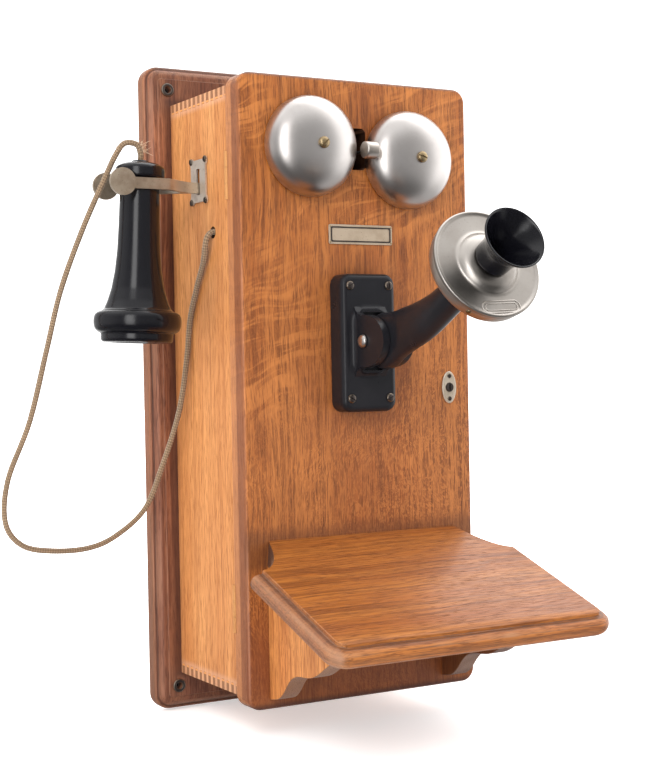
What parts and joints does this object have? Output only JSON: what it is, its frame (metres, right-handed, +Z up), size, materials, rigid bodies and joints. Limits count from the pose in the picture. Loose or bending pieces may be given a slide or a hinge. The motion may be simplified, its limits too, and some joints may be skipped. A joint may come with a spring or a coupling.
{
  "type": "wall telephone",
  "caption": "Antique wooden wall telephone with outside gongs, tilting transmitter arm, receiver on a hook switch, hand crank and sloping writing shelf.",
  "frame": {"origin": "centre of the backboard's rear face, on the wall", "axes": "+X to the user's right as they face it, +Y into the wall, +Z up"},
  "size_m": [0.3916, 0.3586, 0.521],
  "materials": {
    "oak_back": "satin varnish, dark",
    "oak_side": "satin varnish, light",
    "oak_end": "satin varnish",
    "oak_door": "satin varnish, quarter-sawn",
    "oak_shelf": "satin varnish, worn edges",
    "oak_bracket": "satin varnish",
    "bare_wood": "bare",
    "nickel": "satin nickel plate",
    "tarnished_nickel": "tarnished nickel",
    "brass": "aged",
    "steel": "plain",
    "pale_nickel": "pale nickel over brass",
    "japanned_iron": "black japanned",
    "hard_rubber": "polished hard rubber",
    "magnet_paint": "dark red paint",
    "coil_winding": "wound coil",
    "cell_sleeve": "card sleeve",
    "cord_cloth": "braided cloth"
  },
  "bodies": {
    "cabinet": {"backboard": "oak_back", "wall_grommet_1": "nickel", "wall_grommet_2": "nickel", "wall_grommet_3": "nickel", "wall_grommet_4": "nickel", "cabinet_left_side": "oak_side", "cabinet_right_side": "oak_side", "cabinet_top": "oak_end", "cabinet_bottom": "oak_end", "battery_shelf": "bare_wood", "hinge_upper_cabinet": "brass", "hinge_lower_cabinet": "brass", "hook_escutcheon": "tarnished_nickel", "hook_bracket": "steel", "hook_springs": "brass", "magneto_frame": "steel", "magneto_magnet_1": "magnet_paint", "magneto_magnet_2": "magnet_paint", "crank_bushing": "tarnished_nickel", "dry_cell_left": "cell_sleeve", "dry_cell_right": "cell_sleeve", "induction_coil": "coil_winding", "receiver_cord": "cord_cloth"},
    "door": {"door": "oak_door", "hinge_upper_door": "brass", "hinge_lower_door": "brass", "nameplate": "brass", "lock_escutcheon": "pale_nickel", "gong_left": "nickel", "gong_right": "nickel", "gong_post_left": "nickel", "gong_post_right": "nickel", "gong_screw_left": "brass", "gong_screw_right": "brass", "ringer_frame": "steel", "ringer_coil_left": "coil_winding", "ringer_coil_right": "coil_winding", "transmitter_base": "japanned_iron", "arm_bolt": "nickel", "writing_shelf": "oak_shelf", "shelf_bracket_left": "oak_bracket", "shelf_bracket_right": "oak_bracket"},
    "lock": {"lock_bolt": "brass"},
    "clapper": {"clapper": "nickel", "clapper_rod": "steel", "ringer_armature": "steel"},
    "transmitter": {"transmitter_arm": "japanned_iron", "transmitter_cup": "nickel", "transmitter_face": "nickel", "mouthpiece": "hard_rubber", "carbon_capsule": "brass"},
    "hook": {"hook_lever": "tarnished_nickel"},
    "receiver": {"receiver_shell": "hard_rubber", "receiver_cap": "hard_rubber", "receiver_diaphragm": "steel", "receiver_magnet": "steel"},
    "crank": {"crank_shaft": "steel", "crank_arm": "tarnished_nickel", "crank_knob": "hard_rubber"},
    "armature": {"magneto_armature": "steel"}
  },
  "joints": [
    {"name": "door_swing", "type": "hinge", "parent": "cabinet", "child": "door", "pos_m": [-0.1009, -0.12345, 0], "axis": [0, 0, -1], "range_deg": [0, 95]},
    {"name": "arm_tilt", "type": "hinge", "parent": "door", "child": "transmitter", "pos_m": [-0.0025, -0.177, 0.034], "axis": [-1, 0, 0], "range_deg": [-22, 30]},
    {"name": "receiver_lift", "type": "slide", "parent": "cabinet", "child": "receiver", "axis": [-0.342, 0, 0.9397], "range_m": [0, 0.05], "deforming": ["receiver_cord"]},
    {"name": "hook_swing", "type": "hinge", "parent": "cabinet", "child": "hook", "pos_m": [-0.068, -0.071, 0.156], "axis": [0, 1, 0], "range_deg": [0, 14]},
    {"name": "crank_turn", "type": "hinge", "parent": "cabinet", "child": "crank", "pos_m": [0.104, -0.08, 0.012], "axis": [1, 0, 0], "continuous": true},
    {"name": "armature_spin", "type": "hinge", "parent": "cabinet", "child": "armature", "pos_m": [0, -0.0675, -0.0192], "axis": [1, 0, 0], "continuous": true},
    {"name": "clapper_rock", "type": "hinge", "parent": "door", "child": "clapper", "pos_m": [0, -0.106, 0.122], "axis": [0, 1, 0], "range_deg": [-1.6, 1.6], "stiffness_Nm_per_rad": 0.05},
    {"name": "lock_turn", "type": "hinge", "parent": "door", "child": "lock", "pos_m": [0.0812, -0.1236, -0.0028], "axis": [0, -1, 0], "range_deg": [0, 90]}
  ],
  "couplings": [
    {"joint": "hook_swing", "follows": "receiver_lift", "rad_per_m": 4.8},
    {"joint": "armature_spin", "follows": "crank_turn", "ratio": -5}
  ]
}
